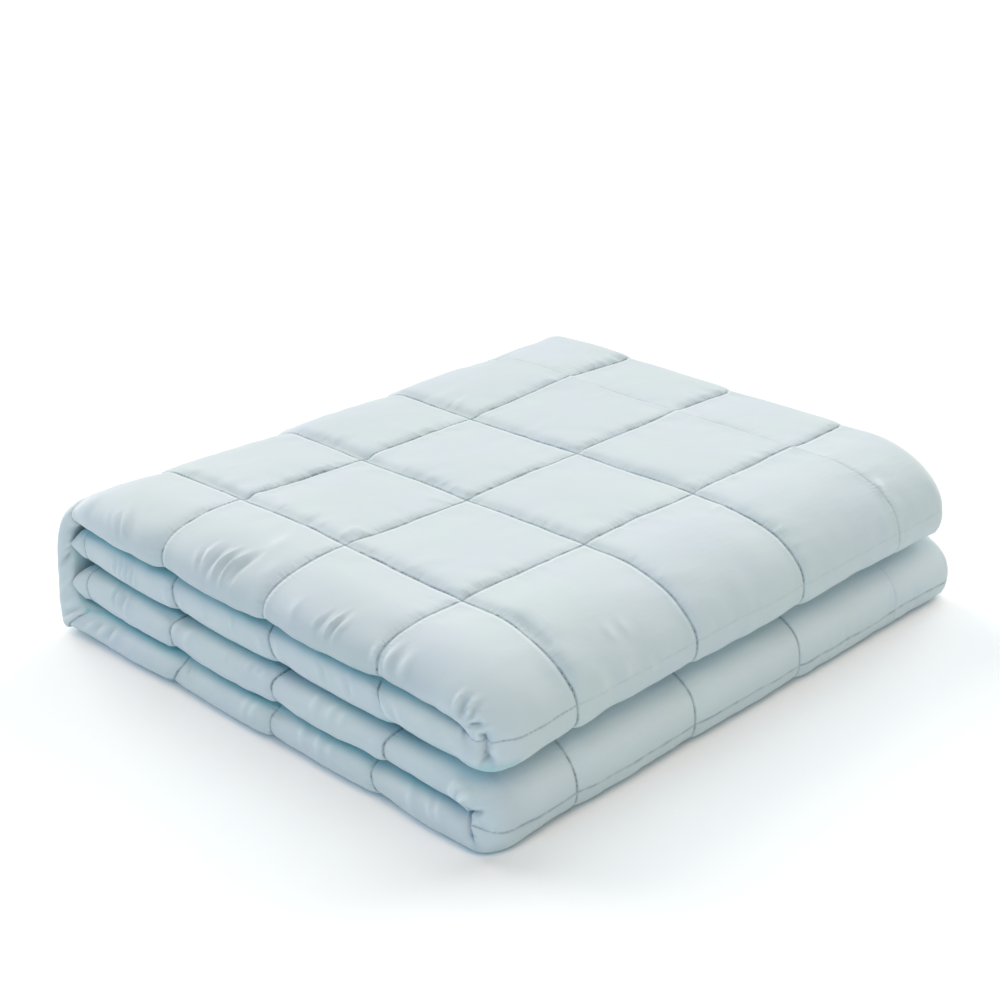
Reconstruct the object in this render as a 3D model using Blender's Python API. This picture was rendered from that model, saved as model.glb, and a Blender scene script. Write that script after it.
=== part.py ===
# A weighted blanket of 1.40 x 2.00 m, quilted in squares and folded flat: in three across its
# width, then both ends in to the middle, then once more in half. So it is one band, three quilts
# thick, that goes back and forth in four layers. Metres, +Z up. X runs along the two front
# folds, Y from them to the back fold, and the origin is under the middle of the stack.

from collections import namedtuple

import bmesh
import bpy
import numpy as np

# the quilting
CELL_ACROSS = 0.1167  # 12 squares make the width of 1.40 m
SEAM_DEPTH = 0.0035  # how far a seam is drawn in below its squares
SEAM_REACH = 0.026  # from the seam to where its square is at its full height
SEAM_KNEE = 0.009  # the steep part of that slope
KNEE_HEIGHT = 0.6  # share of the depth that is regained at the knee
FIRST_SEAM_X = 0.0835  # the first seam on the top, from the left side
TOP_SEAMS = 4  # seams that cross the top along Y

# one band, as shares of its thickness from the inner face of a fold, at 0, to its outer, at 1
QUILT = 0.31  # each of the three quilts
PLAY = 0.035  # the space between two of them
HEM_X = 0.40  # the tucked quilt's width, from the right side to its hem
RIGHT_ROUND = 0.012  # the rounding of the fold at the right side
INNER_HEM_SET = 0.010  # the innermost quilt ends this far short of the right side
WALL = 0.0095  # thickness of the quilt where it turns over at the left side
LINING = 0.6  # rounding of that turn's hollow side, as a share of the rounding outside

# The band's four layers in the order of its path, with the height of its outer face where the
# layer starts and ends, and of its inner face
Layer = namedtuple("Layer", "outer_start outer_end inner")
LAYER_2 = Layer(0.0625, 0.0625, 0.0908)
LAYER_1 = Layer(0.1232, 0.1207, 0.0922)
LAYER_4 = Layer(0.0, 0.0, 0.0283)
LAYER_3 = Layer(0.0606, 0.0606, 0.0297)
END_Y = 0.434  # both ends of the band lie inside the back fold
END_TAPER = 0.015  # length over which an end narrows
END_SHARE = 0.55  # to this share of the thickness

# A fold turns from one layer to the next. Its outer face starts first_reach short of its nose,
# where it has sunk by sag, and ends last_reach past it. Its inner face goes round the tip, which
# lies lower by drop, in a curve that is fuller than an ellipse, whose fullness is 2.
Fold = namedtuple(
    "Fold",
    "nose_y nose_z first_reach last_reach sag tip_y drop inner_first inner_last fullness steps",
)
UPPER_FRONT = Fold(0.0035, 0.0770, 0.0205, 0.0765, 0.0048, 0.034, 0.007, 0.010, 0.046, 4, 6)
BACK = Fold(0.4820, 0.0380, -0.0715, -0.0360, 0.0, 0.4540, 0.0, -0.0420, -0.0300, 2, 5)
LOWER_FRONT = Fold(0.0035, 0.0177, 0.0145, 0.0605, 0.0, 0.032, 0.003, 0.008, 0.034, 4, 6)
PATH = (LAYER_2, UPPER_FRONT, LAYER_1, BACK, LAYER_4, LOWER_FRONT, LAYER_3)
DIP_POWER = 16  # the higher, the nearer to its fold a layer begins to dip

# How the band's cross section changes on its way. at is the place along it in sections: 0 to 1
# is layer 2, 1 to 2 the upper front fold, 2 to 3 layer 1, 3 to 4 the back fold, 4 to 5 layer 4,
# 5 to 6 the lower front fold and 6 to 7 layer 3. left and right are its sides, reach_out and
# reach_in the rounding of the left side towards each face, and crown where that side is fullest.
Section = namedtuple("Section", "at left right reach_out reach_in crown")
SECTIONS = (
    Section(0.0, 0.006, 0.504, 0.018, 0.016, 0.50),
    Section(0.3, 0.004, 0.502, 0.020, 0.020, 0.47),
    Section(0.8, 0.003, 0.497, 0.020, 0.020, 0.45),
    Section(1.5, 0.008, 0.490, 0.030, 0.012, 0.40),
    Section(2.1, 0.001, 0.505, 0.045, 0.012, 0.30),
    Section(2.5, 0.000, 0.512, 0.045, 0.012, 0.28),
    Section(2.9, 0.000, 0.519, 0.034, 0.013, 0.34),
    Section(3.5, 0.001, 0.514, 0.024, 0.014, 0.50),
    Section(4.1, 0.001, 0.508, 0.022, 0.024, 0.50),
    Section(4.9, 0.002, 0.502, 0.020, 0.024, 0.50),
    Section(5.5, 0.007, 0.501, 0.026, 0.014, 0.50),
    Section(6.2, 0.001, 0.499, 0.022, 0.018, 0.45),
    Section(6.7, 0.002, 0.502, 0.022, 0.018, 0.45),
    Section(7.0, 0.005, 0.504, 0.018, 0.016, 0.50),
)

# The seams along X. In a layer, where is the seam's y. In a fold it is the turn, 0 to 1. drift is
# how far the seam has moved along the band where it goes over the left side.
Seam = namedtuple("Seam", "section where drift")
SEAMS = (
    Seam(0, 0.424, 0.000),
    Seam(0, 0.3260, 0.004),
    Seam(0, 0.2110, 0.004),
    Seam(0, 0.0960, 0.003),
    Seam(1, 0.5250, 0.000),
    Seam(2, 0.1070, -0.006),
    Seam(2, 0.2225, -0.009),
    Seam(2, 0.3385, -0.012),
    Seam(3, 0.2300, -0.002),
    Seam(3, 0.7600, 0.002),
    Seam(4, 0.3390, 0.004),
    Seam(4, 0.2230, 0.004),
    Seam(4, 0.1110, 0.004),
    Seam(5, 0.4700, 0.000),
    Seam(6, 0.0970, 0.003),
    Seam(6, 0.2100, 0.003),
    Seam(6, 0.3270, 0.003),
    Seam(6, 0.4240, 0.000),
)

# The stack isn't quite square: slow waves along it, in metres
Wave = namedtuple("Wave", "height length start")
TOP_WAVES = (Wave(0.0012, 0.29, 0.07), Wave(0.0009, 0.47, 0.21))
SIDE_WAVES = (Wave(0.0008, 0.31, 0.05), Wave(0.0006, 0.17, 0.11))
FILL_WAVES = (Wave(0.0006, 0.36, 0.02), Wave(0.0004, 0.19, 0.13))  # of the outer face alone

CLOTH_COLOUR = (0.60, 0.74, 0.79, 1.0)
CLOTH_ROUGHNESS = 0.55
SAMPLES = 80  # points on each section of the path when its length is measured
NEAREST_RINGS = 0.004  # rings closer than this are one


def turned(reach, share, fullness):
    # How far a point on a rounded end lies back from its nose, at a share of the turn from 0 to 1
    return reach * (1 - np.sin(share * np.pi / 2) ** (2 / fullness))


def fold_points(section, turn):
    # The outer and inner point of a fold: turn 0 is its start, 0.5 its nose and 1 its end
    before, fold, after = PATH[section - 1 : section + 2]
    first = turn < 0.5
    share = 2 * turn if first else 2 - 2 * turn
    fall = np.cos(share * np.pi / 2)
    reach = fold.first_reach if first else fold.last_reach
    outer_z = before.outer_end - fold.sag if first else after.outer_start
    outer_y = fold.nose_y + turned(reach, share, 2)
    inner_reach = fold.inner_first if first else fold.inner_last
    inner_z = before.inner if first else after.inner
    middle = (before.inner + after.inner) / 2
    back = turned(inner_reach, share, fold.fullness)
    drop = fold.drop * (1 - abs(back) / max(abs(fold.inner_first), abs(fold.inner_last))) ** 2
    rise = (inner_z - middle) * fall ** (2 / fold.fullness)
    outer = np.array((outer_y, fold.nose_z + (outer_z - fold.nose_z) * fall))
    return outer, np.array((fold.tip_y + back, middle + rise - drop))


def layer_points(section, share):
    # A layer joins the end of one fold to the start of the next. It is straight, but dips to meet
    # each of them.
    layer = PATH[section]
    flat_ends = [np.array(((END_Y, layer.outer_start), (END_Y, layer.inner)))] * 2
    if section > 0:
        flat_ends[0] = np.array(fold_points(section - 1, 1))
    if section < len(PATH) - 1:
        flat_ends[1] = np.array(fold_points(section + 1, 0))
    points = flat_ends[0] + (flat_ends[1] - flat_ends[0]) * share
    level = np.array((layer.outer_start + (layer.outer_end - layer.outer_start) * share, layer.inner))
    start_dip = flat_ends[0][:, 1] - (layer.outer_start, layer.inner)
    end_dip = flat_ends[1][:, 1] - (layer.outer_end, layer.inner)
    points[:, 1] = level + start_dip * (1 - share) ** DIP_POWER + end_dip * share**DIP_POWER
    return points


def path_points(place):
    # The outer and inner point of the band at a place along it, in sections
    section = min(int(place), len(PATH) - 1)
    if section % 2:
        return fold_points(section, place - section)
    return layer_points(section, place - section)


# the length of the band's outer face up to each place
PLACES = np.linspace(0, len(PATH), len(PATH) * SAMPLES + 1)
OUTER_LINE = np.array([path_points(place)[0] for place in PLACES])
LENGTHS = np.concatenate([[0], np.cumsum(np.linalg.norm(np.diff(OUTER_LINE, axis=0), axis=1))])


def length_at(place):
    return np.interp(place, PLACES, LENGTHS)


def place_at(length):
    return np.interp(length, LENGTHS, PLACES)


def seam_length(seam):
    # Where a seam crosses the band, as a length along its outer face
    if seam.section % 2:
        return length_at(seam.section + seam.where)
    inside = (PLACES >= seam.section) & (PLACES <= seam.section + 1)
    order = np.argsort(OUTER_LINE[inside, 0])
    return np.interp(seam.where, OUTER_LINE[inside, 0][order], LENGTHS[inside][order])


SEAM_LENGTHS = np.array([seam_length(seam) for seam in SEAMS])
SEAM_XS = [FIRST_SEAM_X + CELL_ACROSS * index for index in range(TOP_SEAMS)]


def height_near(distance):
    # Share of the full height, 0 at a seam and 1 from SEAM_REACH on
    return np.interp(abs(distance), (0, SEAM_KNEE, SEAM_REACH), (0, KNEE_HEIGHT, 1))


def section_at(place):
    # The row of SECTIONS for a place between two rows, eased from one to the next
    rows = np.array(SECTIONS)
    index = int(np.clip(np.searchsorted(rows[:, 0], place) - 1, 0, len(rows) - 2))
    share = (place - rows[index, 0]) / (rows[index + 1, 0] - rows[index, 0])
    eased = np.clip(share, 0, 1) ** 2 * (3 - 2 * np.clip(share, 0, 1))
    return Section(*(rows[index] + (rows[index + 1] - rows[index]) * eased))


def left_side(section):
    # The left side seen along the band, from its outer face to its inner: x, share of the
    # thickness and the way out
    points = []
    for angle in np.radians((72, 54, 36, 18, 0, -18, -36, -54, -72)):
        reach = section.reach_out if angle > 0 else section.reach_in
        x = section.left + reach * (1 - np.cos(angle))
        room = 1 - section.crown if angle > 0 else section.crown
        points.append((x, section.crown + room * np.sin(angle), -np.cos(angle), np.sin(angle)))
    return points


def left_lining(section):
    # The same side within the fold, from its inner face to its outer
    points = []
    crown = np.clip(section.crown, 0.42, 0.58)
    for angle in np.radians((-90, -60, -30, 0, 30, 60, 90)):
        reach = LINING * (section.reach_out if angle > 0 else section.reach_in)
        x = section.left + WALL + reach * (1 - np.cos(angle))
        room = 1 - QUILT - crown if angle > 0 else crown - QUILT
        points.append((x, crown + room * np.sin(angle), 0, 0))
    return points


def seam_columns(right):
    # The x of the points over the outer face, from the right side to the left
    steps = (SEAM_REACH, SEAM_KNEE, 0, -SEAM_KNEE, -SEAM_REACH)
    return [x + step for x in SEAM_XS[::-1] for step in steps if x + step < right]


def ring_points(section):
    # The band's closed outline across its path: x, share of the thickness, and the way out for
    # the points that the seams draw in
    right = section.right
    hem = right - HEM_X
    inner_right = right - INNER_HEM_SET
    middle = ((1 + QUILT + PLAY) / 2, (1 - QUILT - PLAY) / 2)
    flat_left = section.left + max(section.reach_out, SEAM_KNEE)
    rounded = [(x, 1.0, 0, 1) for x in seam_columns(right - RIGHT_ROUND) if x > flat_left]
    points = [(right - RIGHT_ROUND, 1.0, 0, 0)] + rounded + [(flat_left, 1.0, 0, 1)]
    points += left_side(section)
    points += [(section.left + section.reach_in, 0.0, 0, 0), (0.25, 0.0, 0, 0), (inner_right, 0.0, 0, 0)]
    points += [(inner_right, QUILT, 0, 0), (0.25, QUILT, 0, 0)]
    points += left_lining(section)
    points += [(0.25, 1 - QUILT, 0, 0), (right - WALL, 1 - QUILT, 0, 0)]
    points += [(right - WALL, 1 - QUILT - PLAY, 0, 0), (hem, 1 - QUILT - PLAY, 0, 0)]
    points += [(hem, QUILT + PLAY, 0, 0), (right - RIGHT_ROUND, QUILT + PLAY, 0, 0)]
    for angle in np.radians((-60, -30, 0, 30, 60)):
        x = right - RIGHT_ROUND * (1 - np.cos(angle))
        points.append((x, middle[0] + middle[1] * np.sin(angle), 0, 0))
    return points


def drift_at(length, x):
    # How far the seams lean along the band near its left side
    over = np.clip((FIRST_SEAM_X - x) / FIRST_SEAM_X, 0, 1) ** 1.5
    return over * np.interp(length, SEAM_LENGTHS, [seam.drift for seam in SEAMS])


def waved(waves, at):
    return sum(wave.height * np.sin(2 * np.pi * (at - wave.start) / wave.length) for wave in waves)


def uneven(x, y, z):
    # Moves the whole stack a little, all layers together, so none of them meet. The underside
    # stays flat.
    return x + waved(SIDE_WAVES, y + z), y, z * (1 + waved(TOP_WAVES, y) / LAYER_1.outer_start)


def inset_at(length, x):
    # How far the outer face is drawn in: at the seams, and where the filling is thinner. Squares
    # of the lowest layer are full, so that they lie flat.
    to_seam = np.min(np.abs(SEAM_LENGTHS - length))
    full = height_near(to_seam) * height_near(min(abs(x - seam) for seam in SEAM_XS))
    thinner = sum(wave.height for wave in FILL_WAVES) + waved(FILL_WAVES, x + length)
    lowest = (PATH.index(LAYER_4) - 0.3, PATH.index(LAYER_4) + 1.3)
    free = np.interp(place_at(length), (lowest[0] - 0.2, *lowest, lowest[1] + 0.2), (1, 0, 0, 1))
    return SEAM_DEPTH * (1 - full) + thinner * free


def ring_at(length):
    # One ring of points round the band
    to_end = min(length, LENGTHS[-1] - length)
    narrow = np.interp(to_end, (0, END_TAPER / 3, END_TAPER), (END_SHARE, 0.85, 1))
    ring = []
    for x, share, out_x, out_share in ring_points(section_at(place_at(length))):
        shown = out_x != 0 or out_share != 0
        outer, inner = path_points(place_at(length + shown * drift_at(length, x)))
        across = outer - inner
        thickness = np.linalg.norm(across)
        inset = inset_at(length, x)
        at = 0.5 + (share - out_share * inset / thickness - 0.5) * narrow
        y, z = inner + across * at
        ring.append(uneven(x - out_x * inset, y, z))
    return ring


def ring_lengths():
    # Rings stand at the seams, at the foot of each seam's slope, round the folds and at the ends
    fine = SEAM_LENGTHS[(SEAM_LENGTHS > length_at(1)) & (SEAM_LENGTHS < length_at(4))]
    wanted = [(length, 0) for length in SEAM_LENGTHS]
    wanted += [(length + side * SEAM_KNEE, 1) for length in fine for side in (-1, 1)]
    wanted += [(length + side * SEAM_REACH, 2) for length in SEAM_LENGTHS for side in (-1, 1)]
    for section in (1, 3, 5):
        turns = np.linspace(0, 1, 2 * PATH[section].steps + 1)
        wanted += [(length_at(section + turn), 3) for turn in turns]
    ends = (0, END_TAPER / 3, END_TAPER)
    wanted += [(end, 0) for end in ends] + [(LENGTHS[-1] - end, 0) for end in ends]
    kept = []
    for length, _ in sorted(wanted, key=lambda ring: ring[1]):
        inside = 0 <= length <= LENGTHS[-1]
        if inside and all(abs(length - other) > NEAREST_RINGS for other in kept):
            kept.append(length)
    return sorted(kept)


def make_blanket():
    rings = [ring_at(length) for length in ring_lengths()]
    points = np.array(rings)
    low = points.min(axis=(0, 1))
    high = points.max(axis=(0, 1))
    points -= ((low[0] + high[0]) / 2, (low[1] + high[1]) / 2, 0)
    loft = bmesh.new()
    loops = [[loft.verts.new(point) for point in ring] for ring in points]
    count = len(loops[0])
    for ring, following in zip(loops, loops[1:]):
        for index in range(count):
            after = (index + 1) % count
            loft.faces.new((ring[index], ring[after], following[after], following[index]))
    loft.faces.new(loops[0][::-1])
    loft.faces.new(loops[-1])
    bmesh.ops.triangulate(loft, faces=loft.faces[:], ngon_method="EAR_CLIP")
    bmesh.ops.recalc_face_normals(loft, faces=loft.faces[:])
    mesh = bpy.data.meshes.new("blanket")
    loft.to_mesh(mesh)
    loft.free()
    mesh.shade_smooth()
    return bpy.data.objects.new("blanket", mesh)


def cloth_material():
    material = bpy.data.materials.new("ice_blue_cloth")
    material.use_nodes = True
    surface = material.node_tree.nodes["Principled BSDF"]
    surface.inputs["Base Color"].default_value = CLOTH_COLOUR
    surface.inputs["Roughness"].default_value = CLOTH_ROUGHNESS
    surface.inputs["Metallic"].default_value = 0.0
    return material


for old in list(bpy.data.objects):
    bpy.data.objects.remove(old)
collection = bpy.data.collections.new("weighted_blanket")
bpy.context.scene.collection.children.link(collection)
blanket = make_blanket()
blanket.data.materials.append(cloth_material())
collection.objects.link(blanket)
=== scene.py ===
from collections import namedtuple

import bpy
import numpy as np
from mathutils import Matrix, Vector


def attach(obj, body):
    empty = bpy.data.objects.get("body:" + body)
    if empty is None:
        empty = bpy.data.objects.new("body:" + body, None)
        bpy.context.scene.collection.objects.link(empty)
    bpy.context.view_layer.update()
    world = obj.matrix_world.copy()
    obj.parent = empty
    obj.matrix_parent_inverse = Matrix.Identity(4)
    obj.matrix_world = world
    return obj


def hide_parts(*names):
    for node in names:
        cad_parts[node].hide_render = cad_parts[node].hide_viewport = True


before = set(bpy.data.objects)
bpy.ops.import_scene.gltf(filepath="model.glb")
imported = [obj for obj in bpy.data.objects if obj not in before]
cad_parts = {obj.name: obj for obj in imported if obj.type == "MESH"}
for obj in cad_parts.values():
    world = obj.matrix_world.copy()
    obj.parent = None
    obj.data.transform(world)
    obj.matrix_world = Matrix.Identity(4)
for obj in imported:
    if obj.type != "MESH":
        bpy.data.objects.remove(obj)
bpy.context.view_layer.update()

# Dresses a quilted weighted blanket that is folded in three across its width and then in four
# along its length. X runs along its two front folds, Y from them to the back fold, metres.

# ---- how the band of three quilts goes back and forth, in the sizes of its solid
stackMiddle = (0.2598, 0.2428, 0.0)  # from the corner that these sizes start at

Layer = namedtuple("Layer", "outerStart outerEnd innerStart innerEnd")
foldParts = "noseY noseZ firstReach lastReach tipY drop innerFirst innerLast fullness rounds"
Fold = namedtuple("Fold", foldParts)
layerTwo = Layer(0.0625, 0.0577, 0.0925, 0.0888)
upperFront = Fold(0.0035, 0.0760, 0.0205, 0.0765, 0.034, 0.007, 0.010, 0.046, 4, (2.5, 2))
layerOne = Layer(0.1232, 0.1228, 0.0904, 0.0972)
backFold = Fold(0.4760, 0.0330, -0.0610, -0.0200, 0.4545, 0.0, -0.0420, -0.0300, 4, (2.15, 3.4))
layerFour = Layer(0.0, 0.0, 0.0283, 0.0283)
lowerFront = Fold(0.0035, 0.0180, 0.0145, 0.0605, 0.032, 0.003, 0.008, 0.034, 4, (2.3, 2.4))
layerThree = Layer(0.0560, 0.0606, 0.0297, 0.0297)
band = (layerTwo, upperFront, layerOne, backFold, layerFour, lowerFront, layerThree)
bandEnd = {
    "y": 0.4525,  # where the band's two ends lie, inside the back fold
    "dipPower": 16,  # how close to a fold the faces of its layers begin to bend to it
    "thin": {0: 0.30, 0.003: 0.52, 0.007: 0.72, 0.013: 0.92, 0.021: 1},  # thickness by the way from an end
}

# how its cross section changes on the way: 0 to 1 is layer two, 1 to 2 the upper front fold ...
Section = namedtuple("Section", "at left right reachOut reachIn crown")
sections = np.array((
    Section(0.0, 0.006, 0.504, 0.018, 0.016, 0.50),
    Section(0.3, 0.004, 0.502, 0.020, 0.020, 0.47),
    Section(0.8, 0.003, 0.503, 0.020, 0.020, 0.45),
    Section(1.5, 0.008, 0.497, 0.030, 0.012, 0.40),
    Section(2.1, 0.001, 0.507, 0.045, 0.012, 0.30),
    Section(2.5, 0.000, 0.511, 0.045, 0.012, 0.28),
    Section(2.9, 0.000, 0.519, 0.029, 0.013, 0.36),
    Section(3.2, 0.004, 0.518, 0.018, 0.010, 0.48),
    Section(3.4, 0.004, 0.516, 0.017, 0.010, 0.49),
    Section(3.6, 0.000, 0.514, 0.016, 0.010, 0.50),
    Section(3.9, -0.004, 0.511, 0.017, 0.010, 0.50),
    Section(4.1, 0.001, 0.508, 0.022, 0.020, 0.50),
    Section(4.9, 0.002, 0.509, 0.020, 0.024, 0.50),
    Section(5.5, 0.007, 0.512, 0.026, 0.014, 0.50),
    Section(6.2, 0.001, 0.506, 0.022, 0.018, 0.45),
    Section(6.7, 0.002, 0.502, 0.022, 0.018, 0.45),
    Section(7.0, 0.005, 0.504, 0.018, 0.016, 0.50),
))

tri = {  # the fold in three across the width
    "quilt": 0.31,  # share of the thickness that each of the three quilts has
    "play": 0.035,  # and that the gap between two of them has
    "hemX": 0.40,  # from the right side to the tucked hem
    "rightRound": 0.012,
    "hemSet": 0.010,  # how far the free hem stays in from the right side
    "hemRound": 0.004,
    "wall": 0.0095,
    "lining": 0.6,  # reach of the hidden turn at the left for that of the outer one
    "insideX": 0.25,  # a place in the hidden gaps
}

# the seams along X: where is y in a layer and the turn in a fold, drift is its lean at the left,
# deep is how far it draws the quilt in and mark how dark its line is
Seam = namedtuple("Seam", "section where drift deep mark")
seams = (
    Seam(0, 0.4340, 0.000, 0.6, 0.6),
    Seam(0, 0.3260, 0.004, 1.0, 0.9),
    Seam(0, 0.2110, 0.004, 1.0, 0.9),
    Seam(0, 0.0960, 0.003, 1.0, 0.9),
    Seam(1, 0.5250, 0.000, 0.12, 0.50),
    Seam(2, 0.1070, -0.006, 1.0, 0.95),
    Seam(2, 0.2225, -0.009, 1.0, 0.95),
    Seam(2, 0.3385, -0.012, 1.0, 0.95),
    Seam(3, 0.1400, 0.004, 0.7, 0.8),
    Seam(3, 0.9350, 0.002, 0.8, 0.8),
    Seam(4, 0.3390, 0.004, 1.0, 0.9),
    Seam(4, 0.2230, 0.004, 1.0, 0.9),
    Seam(4, 0.1110, 0.004, 1.0, 0.9),
    Seam(5, 0.4700, 0.000, 0.25, 0.55),
    Seam(6, 0.0970, 0.003, 1.0, 0.9),
    Seam(6, 0.2100, 0.003, 1.0, 0.9),
    Seam(6, 0.3270, 0.003, 1.0, 0.9),
    Seam(6, 0.4340, 0.000, 0.6, 0.6),
)
quilting = {
    "cell": 0.1167,  # side of a square
    "firstX": 0.0835,
    "topSeams": 4,
    "wobble": 0.0011,  # how far a seam strays from its line
    "sideWobble": 0.0026,  # and round the left side
    "puckers": 0.0014,  # height of the small ridges that end at a seam
    "uneven": 0.0011,  # slow hills in the filling
    "paler": 0.22,  # depth of the seam nearest to the right, for that of the others
}
# the dent that a seam makes: on each of its sides the reach and share of the steep part and the
# reach of the rest; the near side, to the front or the left, is nearly flat
Side = namedtuple("Side", "shoulder steepShare slope")
Dent = namedtuple("Dent", "deep near far")
lengthwise = Dent(0.0050, Side(0.0022, 0.16, 0.030), Side(0.0046, 0.88, 0.016))  # seams from front to back
crosswise = Dent(0.0036, Side(0.0020, 0.20, 0.028), Side(0.0034, 0.74, 0.016))  # seams along X
mesh = {
    "samples": 400,  # of each section of the band
    "firstStep": 0.0007,  # beside a seam
    "growth": 1.25,
    "columnStep": 0.0026,
    "fineStep": 0.0015,  # the longest between rings where there are thin ridges
}
ringSteps = (0.0028, 0.0019, 0.0025, 0.0036, 0.0030, 0.0019, 0.0028)  # in each section of the band
thinRidges = (  # places that have them, where the rings are closer
    (0.09, 0.22), (2.19, 2.26), (2.47, 2.71), (2.86, 2.97),
    (3.42, 3.60), (3.70, 3.87), (4.00, 4.12), (6.79, 6.88),
)

# values by their place on the band: how full the left side's rounding is, where 2 is an ellipse, how
# deep the seams from front to back are, and how wide the first of them is and the others are
sideFullness = {
    0.9: 2.6, 1.2: 2, 1.9: 2, 2.1: 2.35, 2.9: 2.35, 3.1: 2,
    4.0: 2, 4.2: 2.5, 4.9: 2.5, 5.1: 2, 5.9: 2, 6.1: 2.6,
}
lengthwiseDepth = {
    1.0: 0.36, 1.6: 0.50, 1.9: 1.05, 2.1: 0.95, 2.6: 1.0, 3.2: 0.9, 3.9: 0.85, 4.1: 0.5, 5.0: 0.36, 6.0: 0.6,
}
firstSeamWidth = {1.70: 0.85, 1.82: 1.20, 1.94: 1.20, 2.02: 1.0}
lengthwiseWidth = {1.80: 0.75, 1.95: 1.0}


def valueAt(where, table):
    # goes evenly from one value of the table to the next
    return np.interp(where, list(table), list(table.values()))


def turned(reach, share, fullness):
    return reach * (1 - np.sin(share * np.pi / 2) ** (2 / fullness))


def foldLine(section, turns):
    # outer y and z, inner y and z: turn 0 is the fold's start, 0.5 its nose and 1 its end
    before, fold, after = band[section - 1 : section + 2]
    first = turns < 0.5
    share = np.where(first, 2 * turns, 2 - 2 * turns)
    fall = np.cos(share * np.pi / 2)
    fullness = np.where(first, *fold.rounds)
    outerZ = np.where(first, before.outerEnd, after.outerStart)
    outerY = fold.noseY + turned(np.where(first, fold.firstReach, fold.lastReach), share, fullness)
    innerZ = np.where(first, before.innerEnd, after.innerStart)
    middle = (before.innerEnd + after.innerStart) / 2
    back = turned(np.where(first, fold.innerFirst, fold.innerLast), share, fold.fullness)
    drop = fold.drop * (1 - abs(back) / max(abs(fold.innerFirst), abs(fold.innerLast))) ** 2
    rise = (innerZ - middle) * abs(fall) ** (2 / fold.fullness)
    outerFall = abs(fall) ** (2 / fullness)
    columns = (outerY, fold.noseZ + (outerZ - fold.noseZ) * outerFall, fold.tipY + back, middle + rise - drop)
    return np.stack(columns, axis=1)


def layerLine(section, shares):
    layer = band[section]
    ends = [
        np.array((bandEnd["y"], layer.outerStart, bandEnd["y"], layer.innerStart)),
        np.array((bandEnd["y"], layer.outerEnd, bandEnd["y"], layer.innerEnd)),
    ]
    if section > 0:
        ends[0] = foldLine(section - 1, np.array([1.0]))[0]
    if section < len(band) - 1:
        ends[1] = foldLine(section + 1, np.array([0.0]))[0]
    share = shares[:, None]
    points = ends[0] + (ends[1] - ends[0]) * share
    for column, start, end in ((1, layer.outerStart, layer.outerEnd), (3, layer.innerStart, layer.innerEnd)):
        dips = (ends[0][column] - start) * (1 - shares) ** bandEnd["dipPower"]
        dips += (ends[1][column] - end) * shares ** bandEnd["dipPower"]
        points[:, column] = start + (end - start) * shares + dips
    return points


# the band seen from the side, closely sampled, and the length of its outer face
places = np.linspace(0, len(band), len(band) * mesh["samples"] + 1)
profile = np.empty((len(places), 4))
for section in range(len(band)):
    part = slice(section * mesh["samples"], (section + 1) * mesh["samples"] + 1)
    shares = places[part] - section
    profile[part] = foldLine(section, shares) if section % 2 else layerLine(section, shares)
lengths = np.concatenate([[0], np.cumsum(np.hypot(*np.diff(profile[:, :2], axis=0).T))])


def lengthAt(place):
    return np.interp(place, places, lengths)


def placeAt(length):
    return np.interp(length, lengths, places)


def seamLength(seam):
    if seam.section % 2:
        return lengthAt(seam.section + seam.where)
    inside = (places >= seam.section) & (places <= seam.section + 1)
    order = np.argsort(profile[inside, 0])
    return np.interp(seam.where, profile[inside, 0][order], lengths[inside][order])


seamLengths = np.array([seamLength(seam) for seam in seams])
seamXs = np.array([quilting["firstX"] + quilting["cell"] * index for index in range(quilting["topSeams"])])


def sectionAt(place):
    # the section's values at each place, eased from one row to the next
    index = np.clip(np.searchsorted(sections[:, 0], place) - 1, 0, len(sections) - 2)
    start, end = sections[index], sections[index + 1]
    share = np.clip((place - start[..., 0]) / (end[..., 0] - start[..., 0]), 0, 1)
    eased = (share**2 * (3 - 2 * share))[..., None]
    return Section(*np.moveaxis(start + (end - start) * eased, -1, 0))


def stepsBetween(low, high, lowFine, highFine, lastStep):
    # positions between two seams, close together near each of them
    def half(room, fine):
        steps = [0.0]
        step = mesh["firstStep"] if fine else lastStep
        while steps[-1] < room:
            steps.append(steps[-1] + step)
            step = min(step * mesh["growth"], lastStep)
        return np.array(steps) * room / steps[-1]

    middle = (low + high) / 2
    if not lowFine:
        return (high - half(high - low, highFine))[::-1]
    if not highFine:
        return low + half(high - low, True)
    return np.concatenate([low + half(middle - low, True), (high - half(high - middle, True))[::-1][1:]])


def randomTable(seed, shape):
    return np.random.RandomState(seed).uniform(-1, 1, shape)


def smoothNoise(a, b, seed):
    # a soft random field, -1 to 1, with one value for each unit square
    table = randomTable(seed, (64, 64))
    a0, b0 = np.floor(a).astype(int), np.floor(b).astype(int)
    fa, fb = a - a0, b - b0
    fa, fb = fa**3 * (fa * (6 * fa - 15) + 10), fb**3 * (fb * (6 * fb - 15) + 10)
    a0, b0, a1, b1 = a0 % 64, b0 % 64, (a0 + 1) % 64, (b0 + 1) % 64
    low = table[a0, b0] * (1 - fa) + table[a1, b0] * fa
    high = table[a0, b1] * (1 - fa) + table[a1, b1] * fa
    return low * (1 - fb) + high * fb


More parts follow.
